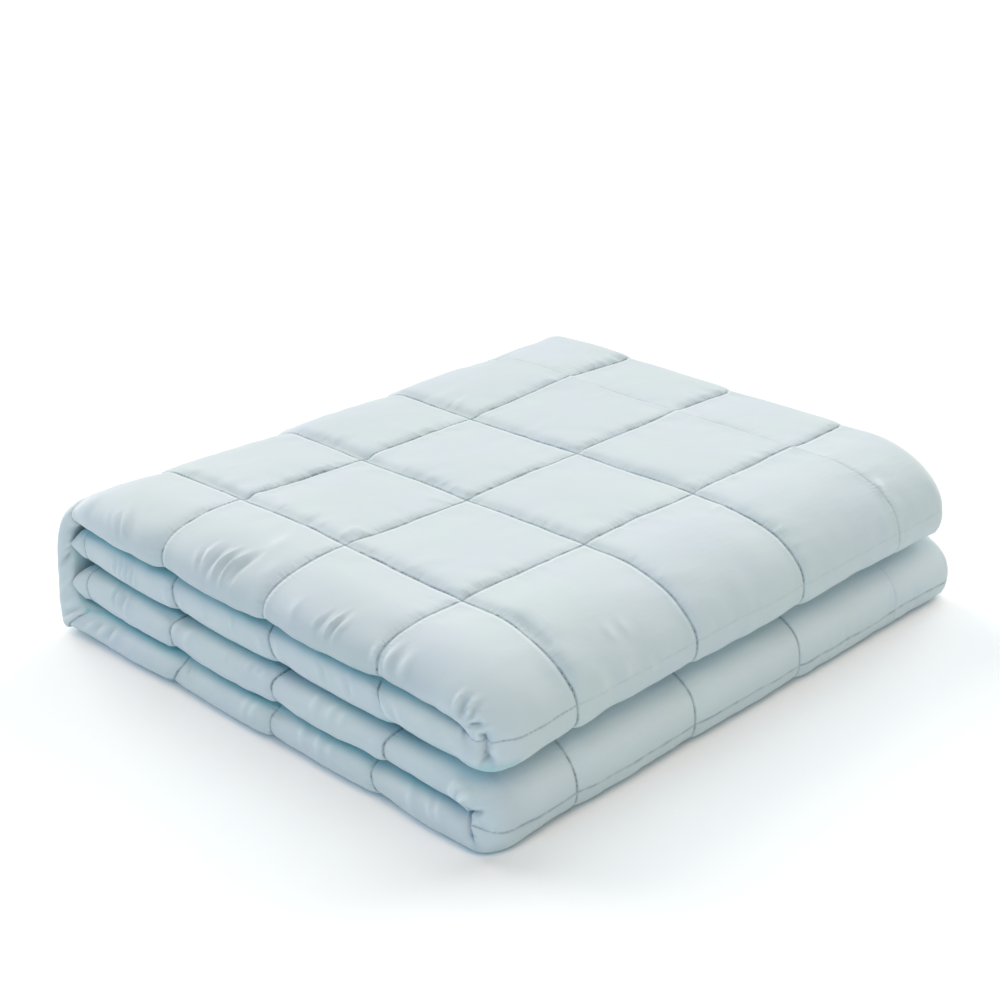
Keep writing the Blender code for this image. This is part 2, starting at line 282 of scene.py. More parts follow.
# ---- the grid: rings along the band, columns round it
stops = np.concatenate([[0], seamLengths, [lengths[-1]]])
ringAt = [np.array([0.0])]
for index, (start, end) in enumerate(zip(stops, stops[1:])):
    step = ringSteps[int(placeAt((start + end) / 2))]
    ringAt.append(stepsBetween(start, end, index > 0, index < len(stops) - 2, step)[1:])
ringAt = np.concatenate(ringAt)
ringMiddles = (ringAt[1:] + ringAt[:-1]) / 2
placeOfMiddles = placeAt(ringMiddles)
split = np.diff(ringAt) > mesh["fineStep"]
split &= np.any([(placeOfMiddles > low) & (placeOfMiddles < high) for low, high in thinRidges], axis=0)
ringAt = np.sort(np.concatenate([ringAt, ringMiddles[split]]))

nominalRight, nominalLeft = 0.491, 0.030
faceStops = np.concatenate([[nominalRight], seamXs[::-1], [nominalLeft]])
faceAt = [np.array([nominalRight])]
for index, (start, end) in enumerate(zip(faceStops, faceStops[1:])):
    steps = stepsBetween(0, start - end, index > 0, index < len(faceStops) - 2, mesh["columnStep"])
    faceAt.append(start - steps[1:])
faceAt = np.concatenate(faceAt)
noseTurns = np.radians(np.linspace(90, -90, 21))[1:-1]
print("grid", len(ringAt), "rings,", len(faceAt), "columns on the face")


def outline(ringLengths):
    # x and share of the thickness of each point of the closed outline, ring by ring, and for each
    # column its kind: 0 hidden, 1 shown face, 2 left nose, 3 right side
    at = sectionAt(placeAt(ringLengths))
    left, right = at.left[:, None], at.right[:, None]
    reachOut, reachIn, crown = at.reachOut[:, None], at.reachIn[:, None], at.crown[:, None]
    flatLeft, flatRight = left + reachOut, right - tri["rightRound"]
    ones = np.ones_like(left)
    columns = []

    def add(columnX, columnShare, columnKind):
        shares = columnShare * ones if np.ndim(columnShare) < 2 else columnShare
        columnX, shares = np.broadcast_arrays(columnX, shares)
        columns.append((columnX, shares, np.full(columnX.shape[1], columnKind)))

    def span(start, end):
        # its two ends, from start to end
        return start + (end - start) * np.array((0.0, 1.0))

    lastX, firstX = seamXs[-1], seamXs[0]
    stretched = lastX + (faceAt - lastX) * (flatRight - lastX) / (nominalRight - lastX)
    faceX = np.where(faceAt > lastX, stretched, faceAt)
    stretched = firstX - (firstX - faceAt) * (firstX - flatLeft) / (firstX - nominalLeft)
    faceX = np.where(faceAt < firstX, stretched, faceX)
    add(faceX, ones * np.ones_like(faceX), 1)
    fuller = 2 / valueAt(placeAt(ringLengths), sideFullness)[:, None]
    reach = np.where(noseTurns > 0, reachOut, reachIn)
    room = np.where(noseTurns > 0, 1 - crown, crown)
    upward = np.sign(noseTurns) * abs(np.sin(noseTurns)) ** fuller
    add(left + reach * (1 - np.cos(noseTurns) ** fuller), crown + room * upward, 2)
    innerRight = right - tri["hemSet"]
    hemX = innerRight - tri["hemRound"]
    add(left + reachIn + (hemX - left - reachIn) * np.linspace(0, 1, 9), 0.0, 0)
    turns = np.radians((-60, -30, 0, 30, 60))
    add(innerRight - tri["hemRound"] * (1 - np.cos(turns)), tri["quilt"] / 2 * (1 + np.sin(turns)) * ones, 3)
    add(span(hemX, tri["insideX"]), tri["quilt"], 0)
    turns = np.radians((-90, -60, -30, 0, 30, 60, 90))
    core = np.clip(crown, 0.42, 0.58)
    reach = tri["lining"] * np.where(turns > 0, reachOut, reachIn)
    room = np.where(turns > 0, 1 - tri["quilt"] - core, core - tri["quilt"])
    add(left + tri["wall"] + reach * (1 - np.cos(turns)), core + room * np.sin(turns), 0)
    add(span(tri["insideX"], right - tri["wall"]), 1 - tri["quilt"], 0)
    add(span(right - tri["wall"], right - tri["hemX"]), 1 - tri["quilt"] - tri["play"], 0)
    low = tri["quilt"] + tri["play"]
    add(span(right - tri["hemX"], flatRight), low, 0)
    turns = np.radians((-75, -50, -25, 0, 25, 50, 75))
    roundShare = (1 + low) / 2 + (1 - low) / 2 * np.sin(turns) * ones
    add(right - tri["rightRound"] * (1 - np.cos(turns)), roundShare, 3)
    allX, allShares = (np.concatenate([column[k] for column in columns], axis=1) for k in (0, 1))
    return allX, allShares, np.concatenate([column[2] for column in columns])


def surfaceAt(lengthField, x, share, narrow):
    outerY, outerZ, innerY, innerZ = (np.interp(lengthField, lengths, values) for values in profile.T)
    at = 0.5 + (share - 0.5) * narrow
    return np.stack([x, innerY + (outerY - innerY) * at, innerZ + (outerZ - innerZ) * at], axis=-1)


def normalsOf(points):
    along = np.gradient(points, axis=0)
    across = np.roll(points, -1, axis=1) - np.roll(points, 1, axis=1)
    normal = np.cross(along, across)
    return normal / np.maximum(np.linalg.norm(normal, axis=-1, keepdims=True), 1e-12)


def risen(away, dent, stretch):
    # share of its height that the quilt has beside a seam, 0 on it and 1 far from it
    def sideRise(side):
        steep = 1 - np.exp(-((abs(away) / side.shoulder / stretch) ** 1.25))
        slow = 1 - np.exp(-((abs(away) / side.slope) ** 1.6))
        return side.steepShare * steep + (1 - side.steepShare) * slow

    return np.where(away > 0, sideRise(dent.far), sideRise(dent.near))


def signedToNearest(values, lines):
    index = np.argmin(abs(values[..., None] - lines), axis=-1)
    return values - lines[index], index


def puckers(along, away, index, seed):
    # small ridges that end at a seam and die away from it, unlike on its two sides
    lane = index * 7.3 + np.where(away > 0, 0.0, 31.7)
    strength = np.clip(0.45 + 1.1 * smoothNoise(along / 0.045, lane, seed), 0, 1)
    strength = strength * np.where(away > 0, 1.5, 0.5)
    reach = 0.011 + 0.008 * smoothNoise(along / 0.06, lane, seed + 1)
    lean = 0.6 * smoothNoise(along / 0.05, lane, seed + 2)
    distance = abs(away)
    leaning = along + lean * distance
    ridges = smoothNoise(leaning / 0.0048, lane, seed + 3)
    ridges = ridges + 0.5 * smoothNoise(leaning / 0.0100, lane, seed + 4)
    rise = distance / 0.0025 / (1 + distance / 0.0025)
    return strength * ridges * rise * np.exp(-((distance / reach) ** 1.3))


# ---- natural puckers: a flat piece of the quilt is puffed up in a cloth simulation
puffed = {"across": 3, "along": 2, "steps": 48, "frames": 24, "pressure": 4.0, "start": 0.004, "blur": 1.2}


def puffedCells():
    # heights of a few squares of it above the mean square
    steps, cell = puffed["steps"], quilting["cell"]
    columns, rows = puffed["across"] * steps + 1, puffed["along"] * steps + 1
    x, y = np.meshgrid(np.arange(columns), np.arange(rows))
    pillow = 1 - (1 - 2 * np.minimum(x % steps, -x % steps) / steps) ** 2
    pillow = pillow * (1 - (1 - 2 * np.minimum(y % steps, -y % steps) / steps) ** 2)
    onSeam = (x % steps == 0) | (y % steps == 0)
    z = np.where(onSeam, 0, puffed["start"] * pillow + 0.0002 * randomTable(3, x.shape))
    indices = np.arange(rows * columns).reshape(rows, columns)
    quads = np.stack([indices[:-1, :-1], indices[:-1, 1:], indices[1:, 1:], indices[1:, :-1]], -1)
    shape = bpy.data.meshes.new("panel")
    shape.from_pydata(np.stack([x * cell / steps, y * cell / steps, z], -1).reshape(-1, 3).tolist(), [],
                      quads.reshape(-1, 4).tolist())
    panel = bpy.data.objects.new("panel", shape)
    bpy.context.scene.collection.objects.link(panel)
    sewn = panel.vertex_groups.new(name="sewn")
    sewn.add(indices[onSeam].tolist(), 1.0, "REPLACE")
    cloth = panel.modifiers.new("cloth", "CLOTH")
    settings = {
        "vertex_group_mass": "sewn", "pin_stiffness": 50, "quality": 5, "mass": 0.02,
        "tension_stiffness": 40, "compression_stiffness": 40, "shear_stiffness": 8, "bending_stiffness": 5,
        "tension_damping": 5, "compression_damping": 5, "shear_damping": 5, "bending_damping": 0.5,
        "air_damping": 2, "shrink_min": -0.02, "shrink_max": -0.02,
        "use_pressure": True, "uniform_pressure_force": puffed["pressure"],
    }
    for key, value in settings.items():
        setattr(cloth.settings, key, value)
    cloth.settings.effector_weights.gravity = 0
    cloth.collision_settings.use_collision = False
    cloth.point_cache.frame_start, cloth.point_cache.frame_end = 1, puffed["frames"]
    for number in range(1, puffed["frames"] + 1):
        bpy.context.scene.frame_set(number)
    settled = panel.evaluated_get(bpy.context.evaluated_depsgraph_get()).to_mesh()
    heights = np.empty(len(settled.vertices) * 3)
    settled.vertices.foreach_get("co", heights)
    heights = heights.reshape(rows, columns, 3)[..., 2]
    bpy.data.objects.remove(panel)
    bpy.data.meshes.remove(shape)
    bpy.context.scene.frame_set(1)
    reach = np.arange(-5, 6)
    kernel = np.exp(-0.5 * (reach / puffed["blur"]) ** 2)
    kernel /= kernel.sum()
    for axis in (0, 1):
        around = [(5, 5) if k == axis else (0, 0) for k in (0, 1)]
        padded = np.pad(heights, around, mode="edge")
        heights = np.apply_along_axis(np.convolve, axis, padded, kernel, "valid")
    cells = [
        heights[row * steps : (row + 1) * steps + 1, column * steps : (column + 1) * steps + 1]
        for row in range(puffed["along"])
        for column in range(puffed["across"])
    ]
    mean = sum(cells) / len(cells)
    mean = (mean + mean[::-1] + mean[:, ::-1] + mean[::-1, ::-1]) / 4
    return np.stack(cells) - (mean + mean.T) / 2


def puffedDetail(cells, s, t):
    # one of the puffed squares, turned or mirrored, in each square of the blanket
    def squareOf(values, lines):
        index = np.clip(np.searchsorted(lines, values) - 1, 0, len(lines) - 2)
        return index, np.clip((values - lines[index]) / (lines[index + 1] - lines[index]), 0, 0.9999)

    row, v = squareOf(s, np.concatenate([[0], seamLengths, [lengths[-1]]]))
    column, u = squareOf(t, seamXs[0] + quilting["cell"] * np.arange(-1, quilting["topSeams"] + 1))
    pick = np.random.RandomState(9).randint(0, 1000, (32, 16, 4))[row, column]
    u = np.where(pick[..., 1] % 2, u, 0.9999 - u)
    v = np.where(pick[..., 2] % 2, v, 0.9999 - v)
    u, v = np.where(pick[..., 3] % 2, u, v), np.where(pick[..., 3] % 2, v, u)
    a, b = u * puffed["steps"], v * puffed["steps"]
    a0, b0 = a.astype(int), b.astype(int)
    which = pick[..., 0] % len(cells)
    low = cells[which, a0, b0] * (1 - a + a0) + cells[which, a0 + 1, b0] * (a - a0)
    high = cells[which, a0, b0 + 1] * (1 - a + a0) + cells[which, a0 + 1, b0 + 1] * (a - a0)
    return low * (1 - b + b0) + high * (b - b0)


# ---- folds of the cloth, listed one by one, from one place on it to another, in millimetres: t is x on the
# outer face and goes on below 0 round the left side, bow moves the middle along the band
Crease = namedtuple("Crease", "place t toPlace toT bow wide high")
creases = [Crease(*row) for row in (
    # ridges round the roll between two seams, and the troughs beside them
    (2.566, 30.4, 2.584, -8, -4.4, 1.3, 2.4),
    (2.527, 30.8, 2.552, -8, -6.3, 1.3, 2.6),
    (2.555, 11.9, 2.512, -8, -1.2, 1.4, 1.4),
    (2.609, 29.5, 2.620, -4, -6.6, 2.6, 1.2),
    (2.670, 16.1, 2.634, -4, -1.5, 1.6, 1.3),
    (2.552, 30.6, 2.566, -8, -4.7, 1.7, -1.8),
    (2.506, 37.9, 2.532, -8, -4.5, 3.2, -2.8),
    (2.587, 25.6, 2.604, -8.4, -4.4, 2.6, -2),
    (2.649, 16.4, 2.627, -4, -1.5, 1.6, -1.1),
    (2.534, 70.6, 2.512, 24.2, -0.1, 5, 1.2),
    (2.455, 37.9, 2.462, 12.1, -1.1, 5, 0.9),
    # softer ones on the roll's other squares
    (2.216, 20.5, 2.231, -8, 1, 1.4, 2.1),
    (2.186, 20.5, 2.201, -8, -0.2, 1.4, 1.7),
    (2.201, 20.5, 2.216, -8, -0.2, 1.4, -1.4),
    (2.233, 16, 2.249, -7, -0.6, 1.8, -1.1),
    (2.255, 11, 2.262, -6, -0.6, 1.6, 1),
    (2.956, 15, 2.892, -10, 1.6, 1.6, 1.1),
    (2.932, 19, 2.870, -9, 1.6, 1.4, 1.6),
    (2.942, 17, 2.880, -9, 1, 1.5, -1.1),
    (2.913, 21, 2.834, -7, 0.3, 2.6, -1.1),
    (2.974, 13, 2.928, -8, 1.8, 1.8, 0.9),
    (2.339, 18, 2.324, -9, -0.3, 3, 1.2),
    # fine ridges round the folded edge of layer two
    (0.140, -15, 0.128, 2, 0.8, 1.5, 2),
    (0.158, -15.5, 0.146, 3.6, 0.8, 1.4, 2.6),
    (0.173, -15.5, 0.158, 4.6, 0.8, 1.4, 2.8),
    (0.188, -15.5, 0.171, 5.6, 0.8, 1.4, 2.6),
    (0.204, -15.5, 0.186, 5.6, 0.6, 1.6, 1.8),
    (0.149, -14, 0.137, 3, 0.8, 1.4, -1.6),
    (0.165, -14, 0.152, 4, 0.8, 1.3, -2),
    (0.180, -14, 0.165, 4.8, 0.8, 1.3, -2),
    (0.196, -14, 0.179, 5, 0.6, 1.4, -1.6),
    (0.468, -22, 0.481, 0, 0.3, 1.6, 1.6),
    (0.397, -15, 0.391, 3, -1, 1.8, 1),
    (0.691, -21, 0.698, -1, -1, 1.6, 1.8),
    (0.717, -21, 0.716, -2, -0.8, 1.8, 1.2),
    (0.749, -21, 0.749, -2, -0.8, 1.6, 1.8),
    (0.782, -21, 0.775, -2.5, -0.8, 1.7, 1.4),
    (0.704, -20.5, 0.704, -2.5, 0, 1.8, -1.4),
    (0.763, -20.5, 0.761, -2.5, 0, 1.8, -1.4),
    # and of layer three
    (6.864, 15, 6.860, -6, 0.6, 1.4, 2.6),
    (6.845, 15, 6.846, -7, 1, 1.4, 2.8),
    (6.812, 14.5, 6.815, -10, 0.6, 1.5, 2.6),
    (6.854, 14, 6.853, -6, 0.6, 1.4, -2),
    (6.831, 14, 6.829, -8, 0.6, 2.2, -1.8),
    (6.506, 13, 6.500, -4, -2, 1.8, 1.2),
    (6.443, 13, 6.436, -4.5, -1, 1.6, 1.4),
    (6.423, 13, 6.416, -4.5, -1, 1.6, 1.4),
    (6.402, 12.5, 6.395, -4, -1, 1.6, 1.2),
    (6.433, 12.5, 6.426, -4, -1, 1.4, -1.1),
    # and broad ones on layer four
    (4.005, -34, 4.026, -8, -1.9, 3, 1.8),
    (4.036, -35, 4.071, -6, -1.3, 3, 2.4),
    (4.067, -34, 4.105, -6, -0.4, 3, 2.4),
    (4.052, -34, 4.089, -8, -1.6, 2.8, -1.8),
    (4.018, -35, 4.048, -8, -1.2, 2.8, -1.6),
    (4.271, -30, 4.307, -9, -1.6, 1.7, 1.6),
    (4.289, -31, 4.320, -10, -2.4, 1.7, 1.8),
    (4.280, -30, 4.313, -9.5, -2, 1.6, -1.4),
    # the near corner of the upper front fold: ridges, a hook, the tuck that goes down, its pleats
    (1.797, 16, 1.751, -2, -1.4, 2, 3.6),
    (1.747, 20, 1.669, 1, -2.9, 2, 3.8),
    (1.769, 16, 1.710, -2, -2.4, 2.4, -3.6),
    (1.701, 19.8, 1.640, 5.2, -2.9, 2, 2.4),
    (1.720, 19, 1.655, 3, -2.9, 2, -2.4),
    (1.647, 0, 1.613, 12, 3.1, 2, -4.8),
    (1.613, 12, 1.131, 14.8, -5.3, 2.4, -7.8),
    (1.590, 17, 1.131, 19.5, -5.1, 2.6, 3),
    (1.490, 18, 1.047, 10, -3.9, 1.8, -3),
    (1.348, 20, 1.174, 15.7, -1.7, 1.8, -2.8),
    # the near corner of the lower one: a hook, the fold that goes down from it, its raised rim
    (5.699, -1, 5.650, 10.2, -9.7, 2, -4.8),
    (5.640, 2.9, 5.027, 4.7, -18.2, 2.8, -8),
    (5.611, 7.7, 5.027, 9, -11, 2.6, 3.4),
    (5.845, 6, 5.769, -2, -1.5, 2.6, 3),
    (5.800, 8, 5.735, -1, -1.5, 2.4, 2.6),
    (5.822, 7, 5.752, -1.5, -1.5, 2.4, -2.4),
    # soft hollows on the far side of the seams from front to back
    (2.000, 90.5, 1.740, 88.5, 0, 5, -3),
    (2.600, 89, 3.060, 89.5, 0, 4.2, -2.6),
    (2.600, 205.5, 3.040, 206.5, 0, 4.6, -2.8),
    (2.640, 322.5, 3.000, 323, 0, 4.2, -1.4),
    # faint wrinkles on the front and the top
    (1.788, 146.9, 1.647, 149.5, -1.3, 3.8, 1),
    (1.788, 134.2, 1.659, 136.8, -1.4, 3.8, 1),
    (1.647, 111.4, 1.468, 111.4, -2.5, 3.8, 0.9),
    (1.636, 131.7, 1.468, 131.7, 0, 3.8, 0.9),
    (1.560, 152, 1.440, 156, 1, 3.8, 0.8),
    (1.965, 296, 2.000, 318, 2, 3, 1.6),
    (1.700, 432, 1.800, 444, 2, 3.5, 1.6),
    # folds of the back fold's left side, which run in between the layers
    (3.466, -5, 3.502, -38, 1, 2.4, -3.6),
    (3.536, -10, 3.548, -38, 1, 3.6, 1.8),
    (3.420, -10, 3.456, -38, 1, 3.6, 1.8),
    (3.722, -4, 3.860, -42, 0, 2.6, -3.6),
    (3.690, -8, 3.800, -40, 0, 4, 1.6),
    (3.100, -6, 3.190, -26, 0, 3.4, -2.6),
    (3.290, -10, 3.330, -28, 0, 4, 1.6),
)]

# broad soft swells, where the filling or the layers below lift the cloth, long is along the band
Billow = namedtuple("Billow", "place t long wide high")
billows = (
    Billow(2.780, 60, 110, 60, 5.2),
    Billow(2.480, 75, 70, 35, 3),
    Billow(2.300, 330, 100, 80, 1.6),
    Billow(2.850, 420, 60, 60, 3),
    Billow(1.200, 5, 13, 55, 4.2),
)

# groups of like ripples across a folded edge
Ripple = namedtuple("Ripple", "place t count apart long wide high")
ripples = (
    Ripple(0.300, -3, 2, 11, 28, 3.2, 1),
    Ripple(0.570, -6, 2, 12, 30, 3.2, 1),
    Ripple(0.860, -8, 2, 12, 30, 3.2, 1.2),
    Ripple(6.650, 4, 2, 12, 30, 3.4, 1),
    Ripple(6.220, 4, 3, 12, 30, 3.2, 1.2),
    Ripple(5.790, 2, 4, 9, 20, 3, 1.5),
    Ripple(4.480, -15, 2, 12, 30, 3.4, 1),
    Ripple(4.660, -15, 3, 11, 28, 3.2, 1.2),
    Ripple(4.930, -15, 3, 9.5, 30, 3.2, 1.4),
    Ripple(3.040, 6, 2, 12, 30, 3.6, 1),
    Ripple(2.050, 2, 3, 12, 34, 3.4, 1.3),
)


def spread(ripple, seed):
    # the single creases of a group, none quite like the next
    chance = randomTable(seed, (ripple.count, 4))
    step = 330  # about the length of a layer, for one unit of place
    for number, (shift, size, lean, reach) in enumerate(chance):
        offset = (number - (ripple.count - 1) / 2 + 0.22 * shift) * ripple.apart / step
        half = ripple.long / 2 * (1 + 0.25 * reach)
        start, end = ripple.place + offset - 0.006 * lean, ripple.place + offset + 0.010 * lean
        high = 1.8 * ripple.high * (1 + 0.35 * size)
        yield Crease(start, ripple.t - half, end, ripple.t + half, 2 * reach, ripple.wide, high)


def creaseField(s, t, placed):
    # height of the folds, and how near a point is to a ridge and to a trough, 0 to 1
    field, ridge, trough = np.zeros_like(s), np.zeros_like(s), np.zeros_like(s)
    for crease in placed:
        start = np.array((lengthAt(crease.place), crease.t / 1000))
        run = np.array((lengthAt(crease.toPlace), crease.toT / 1000)) - start
        bow, wide, high = np.array(crease[-3:]) / 1000
        size = np.hypot(*run)
        ds, dt = s - start[0], t - start[1]
        near = np.hypot(ds - run[0] / 2, dt - run[1] / 2) < size / 2 + 4 * wide
        ds, dt = ds[near], dt[near]
        along = (ds * run[0] + dt * run[1]) / size**2
        across = (ds * run[1] - dt * run[0]) / size - bow * 4 * along * (1 - along)
        soft = np.clip(0.0016 / abs(high), 0.20, 0.50)  # a deep one keeps its depth to near its ends
        taper = np.clip((0.5 - abs(along - 0.5)) / soft, 0, 1)
        bump = np.exp(-((across / wide) ** 2)) * taper**2 * (3 - 2 * taper)
        field[near] += high * bump
        if high < 0:
            trough[near] += np.minimum(1, -high / 0.004) * bump**2
        else:
            ridge[near] += np.minimum(1, high / 0.0026) * bump**2
    return field, np.clip(ridge, 0, 1), np.clip(trough, 0, 1)


# ---- the surface
x, share, kind = outline(ringAt)
rings = ringAt[:, None] * np.ones_like(x)
toEnd = np.minimum(ringAt, lengths[-1] - ringAt)
narrow = valueAt(toEnd, bandEnd["thin"])[:, None]
over = np.clip((seamXs[0] - x) / seamXs[0], 0, 1) ** 1.5
drift = over * np.interp(rings, seamLengths, [seam.drift for seam in seams]) * (kind > 0)

# cloth coordinates: s is along the band, t is x and goes on round the left nose
faceCount = len(faceAt)
nose = np.arange(faceCount, faceCount + len(noseTurns))
s, t = rings, x.copy()
stepsAround = np.diff(surfaceAt(rings + drift, x, share, narrow)[:, faceCount - 1 : nose[-1] + 1], axis=1)
t[:, nose] = x[:, faceCount - 1 : faceCount] - np.cumsum(np.linalg.norm(stepsAround, axis=-1), axis=1)

onFace = (kind == 1) | (kind == 2)
stray = quilting["wobble"] + (quilting["sideWobble"] - quilting["wobble"]) * np.clip(1.4 - t / 0.04, 0, 1)
strayS = stray * (smoothNoise(t / 0.050, s / 0.11, 5) + 0.5 * smoothNoise(t / 0.017, s / 0.11, 6)) * onFace
strayT = smoothNoise(s / 0.050, t / 0.11, 7) + 0.4 * smoothNoise(s / 0.018, t / 0.11, 8)
strayT *= quilting["wobble"] * (kind == 1)
base = surfaceAt(rings + drift + strayS, x + strayT, share, narrow)
normal = normalsOf(base)

outer = np.where(onFace, 1.0, 0.0)
outer[nose] = np.interp(np.degrees(noseTurns), (-90, -60), (0.0, 1.0))
outer[np.flatnonzero(kind == 3)[-7:]] = 0.5
inPlace = placeAt(s)


def isBetween(low, high):
    return (inPlace > low) & (inPlace < high)


# the seams: how far each point is from the nearest of them, and how far the quilt has risen there
toS, indexS = signedToNearest(s, seamLengths)
toT, indexT = signedToNearest(t, seamXs)
seamDeep = np.array([seam.deep for seam in seams])[indexS]
toBack = np.where((inPlace < 1.5) | isBetween(3.5, 5.5), -1.0, 1.0)
wideT = 1 + 0.25 * smoothNoise(s / 0.05, indexT * 7.7 + np.sign(toT), 15)
wideT *= np.where(indexT == 0, valueAt(inPlace, firstSeamWidth), valueAt(inPlace, lengthwiseWidth))
wideS = np.where(isBetween(1.9, 3.1) & (t < 0.05), 1.5, 1.0)
wideS = wideS + 0.30 * smoothNoise(t / 0.05, indexS * 7.7 + np.sign(toS), 16)
riseT = risen(toT, lengthwise, wideT)
riseS = risen(toS * toBack, crosswise, wideS)
# the seam nearest to the right is hardly drawn in where it shows
paler = np.where((indexT == 3) & ((inPlace < 3.0) | (inPlace > 5)), quilting["paler"], 1.0)
height = -lengthwise.deep * paler * valueAt(inPlace, lengthwiseDepth) * (1 - riseT)
height -= crosswise.deep * seamDeep * (1 - riseS) * riseT
full = riseT * (1 - seamDeep * (1 - riseS))
hills = smoothNoise(s / 0.075, t / 0.075, 11) + 0.35 * smoothNoise(s / 0.033, t / 0.033, 12)
height += quilting["uneven"] * hills * full
# a low lip beyond the first seam, where the band bends down to the front
lip = (indexT == 0) * np.interp(inPlace, (1.70, 1.80, 1.94, 2.0), (0, 1, 1, 0)) * (toT > 0) * (kind == 1)
height += 0.0008 * lip * np.exp(-(((toT - 0.0088) / 0.0022) ** 2))
gathered = np.where(seamDeep < 0.3, 0.55, seamDeep) * np.clip(riseT * 1.6, 0, 1)
height += quilting["puckers"] * gathered * puckers(t, toS * toBack, indexS, 20)
height += quilting["puckers"] * puckers(s, toT, indexT, 30) * np.clip(full * 1.6, 0, 1) * 0.8
height += 0.45 * puffedDetail(puffedCells(), s, t)
print("puckers settled")
placed = list(creases)
for number, ripple in enumerate(ripples):
    placed += spread(ripple, 40 + number)
folds, ridge, trough = creaseField(s, t, placed)
for billow in billows:
    middle, long, wide, high = np.array(billow[1:]) / 1000
    away = ((s - lengthAt(billow.place)) / long) ** 2 + ((t - middle) / wide) ** 2
    height += high * np.exp(-away) * onFace
height = (height + folds) * outer
points = base + normal * height[..., None] - np.array(stackMiddle)
points[..., 2] = np.maximum(points[..., 2], 0.0)
print("surface ready", points.shape)


# ---- shade and light in the cloth's colour, each 0 to 1
shades = {
    "gaps": (0.0915, 0.0617, 0.0290),  # heights of the gaps between the layers
    "trough": 0.17,
    "hollow": 0.13,  # on the far side of a seam from front to back
    "acrossHollow": 0.09,  # and of a seam along X
    # painted shade on the roll's side
    "roll": {1.85: 0, 2.0: 0.14, 2.3: 0.14, 2.45: 0.10, 2.6: 0.13, 2.95: 0.08, 3.05: 0},
    # painted shade, a fuller blue, on the front folds
    "fronts": {1.0: 0, 1.1: 0.06, 1.6: 0.06, 1.8: 0, 5.0: 0, 5.1: 0.06, 6.0: 0.06, 6.1: 0},
    "lineWidth": 0.0008,
    "edge": 0.0026,  # how far before a seam its painted bright edge is
}


def bell(values, centre, width):
    return np.exp(-(((values - centre) / width) ** 2))


# how deep each point is in between two layers: painted shade there, a fuller blue, for the light trapped
# between them
aboveFloor = points[..., 2]
onFront = isBetween(1, 1.5) | isBetween(5.5, 6)
inFold = (abs(inPlace - 1.5) < 0.5) | (abs(inPlace - 5.5) < 0.5)
aside = np.max([bell(aboveFloor, gap, 0.0034) for gap in shades["gaps"]], axis=0)
aside = np.where(inFold, 0.7 * bell(aboveFloor, shades["gaps"][1], 0.0040) * onFront, aside)
between = np.where(kind == 2, aside * (abs(inPlace - 3.5) > 0.4), 0)
inBackFold = isBetween(3, 4)
innerTurn = np.interp(np.degrees(noseTurns), (-90, -45), (0.30, 0.0))
between[:, nose] = np.maximum(between[:, nose], innerTurn * inBackFold[:, nose])
# painted shade on the inside faces that are hidden
between = np.where(kind == 0, np.where(inBackFold, 0.35, 0.8), between)
foldShade = np.clip(np.maximum(between, valueAt(inPlace, shades["fronts"])), 0, 1)

# painted highlights on the bright edges before the seams and on ridges, and painted light where light from
# the floor gets in between the fronts
deepSeam = isBetween(2, 3) & (seamDeep > 0.5)
nearEdge = paler**2 * bell(toT, -shades["edge"], 0.0010)
nearEdge = nearEdge * np.interp(inPlace, (1.5, 1.8, 3.0, 3.1), (0, 1, 1, 0))
nearEdge += bell(toS, -shades["edge"], 0.0010) * deepSeam
under = np.interp(inPlace, (5.45, 5.62, 5.9, 6.05), (0, 0.8, 1.0, 0)) * np.interp(t, (0.02, 0.05), (0, 1))
foldLight = np.clip(0.7 * ridge * (kind > 0) + 0.7 * nearEdge * outer + 0.6 * under * (kind == 1), 0, 1)

# painted shade in troughs, on the roll and in the hollows beyond the seams
rollShade = valueAt(inPlace, shades["roll"]) * np.interp(t, (-0.03, 0.0, 0.026, 0.055), (0.8, 1, 1, 0))
hollows = shades["hollow"] * bell(toT, 0.0045, 0.0040) * (1 + 0.4 * smoothNoise(s / 0.030, indexT * 5.1, 19))
hollows *= np.interp(inPlace, (1.6, 1.8, 3.0, 3.1), (0, 1, 1, 0)) * (paler == 1)
hollows *= np.where(indexT > 0, np.interp(inPlace, (1.9, 2.05), (0, 1)), 1)
acrossHollows = shades["acrossHollow"] * bell(toS, 0.0034, 0.0032) * deepSeam
hollows += acrossHollows * (1 + 0.7 * smoothNoise(t / 0.012, indexS * 5.1, 21))
softShade = shades["trough"] * trough + rollShade * (kind > 0) + hollows * (kind == 1)

# the dark lines of the seams
markS = np.array([seam.mark for seam in seams])[indexS]
markS = markS * np.where(onFront | isBetween(1.5, 1.6), np.interp(t, (0.05, 0.10), (0.75, 0.22)), 1.0)
markT = np.interp(inPlace, (0.9, 1.1, 2.0, 2.3, 3.0, 3.3, 5.0, 6.0), (0.9, 0.9, 1.0, 1.0, 1.0, 0.7, 0.8, 0.9))
markT = markT * np.where(paler < 1, np.where(inPlace < 2, 0.3, 0.15), 1.0)
dashS = 0.70 + 0.45 * smoothNoise(t / 0.0045, indexS * 3.3, 17)
dashT = 0.75 + 0.40 * smoothNoise(s / 0.0045, indexT * 3.3, 18)
lineS = markS * dashS * bell(toS, 0, shades["lineWidth"])
lineT = markT * dashT * bell(toT, 0, shades["lineWidth"])
# the seams' dark lines together with the painted shade
seamShade = np.maximum(np.maximum(lineS, lineT) * outer, softShade)

